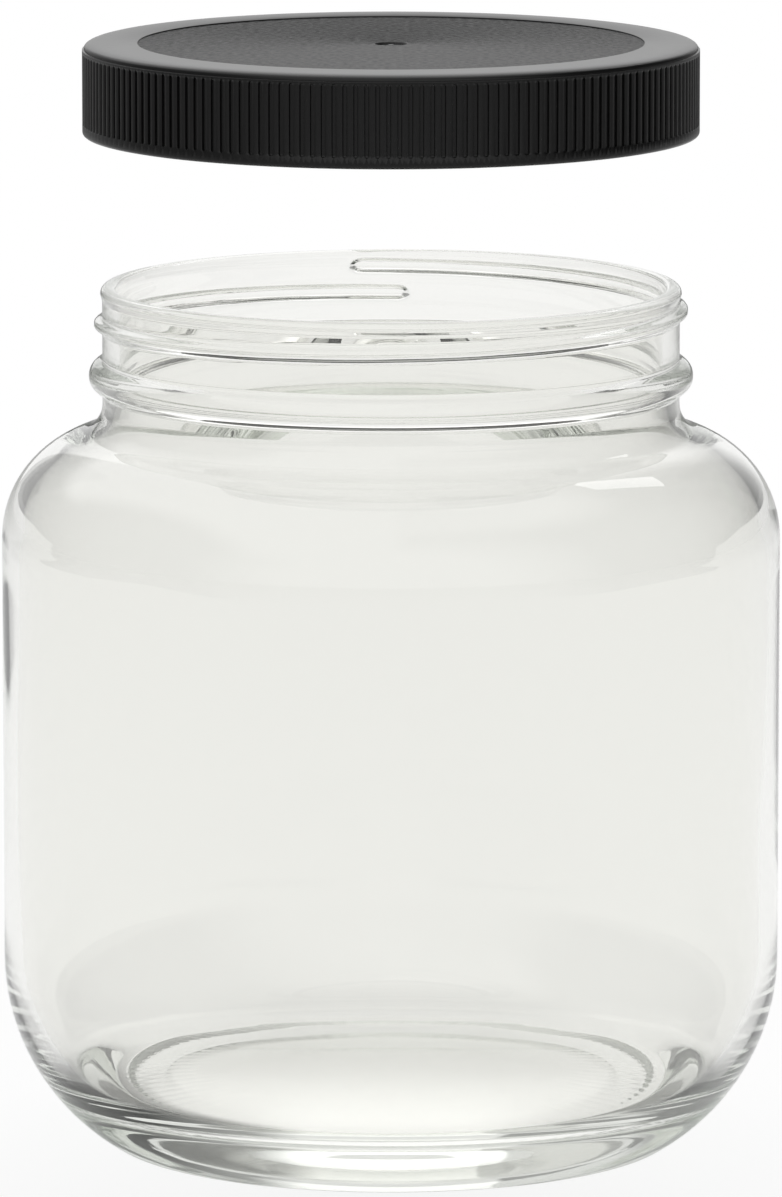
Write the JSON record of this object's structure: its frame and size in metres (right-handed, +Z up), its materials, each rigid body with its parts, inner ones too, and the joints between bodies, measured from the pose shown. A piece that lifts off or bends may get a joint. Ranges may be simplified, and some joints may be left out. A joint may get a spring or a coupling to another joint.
{
  "type": "wide-mouth glass jar",
  "caption": "Clear glass wide-mouth jar with a round shoulder and heel, and a black ribbed screw cap held lifted above its threaded neck.",
  "frame": {"origin": "centre of the base, on the surface that the jar stands on", "axes": "+Z up through the mouth, -Y towards the front of the jar, +X to its right seen from the front"},
  "size_m": [0.144, 0.144, 0.2047],
  "materials": {
    "clear_glass": "gloss, clear with a faint green-grey tint",
    "black_plastic": "satin, with a finely pebbled disc on top",
    "white_foam": "matt"
  },
  "bodies": {
    "jar": {"glass_jar": "clear_glass"},
    "liner": {"cap_liner": "white_foam"},
    "cap": {"screw_cap": "black_plastic"}
  },
  "joints": [
    {"name": "lid_lift", "type": "slide", "parent": "jar", "child": "liner", "axis": [0, 0, 1], "range_m": [-0.04191, 0]},
    {"name": "lid_turn", "type": "hinge", "parent": "liner", "child": "cap", "pos_m": [0, 0, 0.2], "axis": [0, 0, 1], "range_deg": [-2970, 0]}
  ],
  "couplings": [
    {"joint": "lid_lift", "follows": "lid_turn", "m_per_rad": 0.00080851}
  ]
}
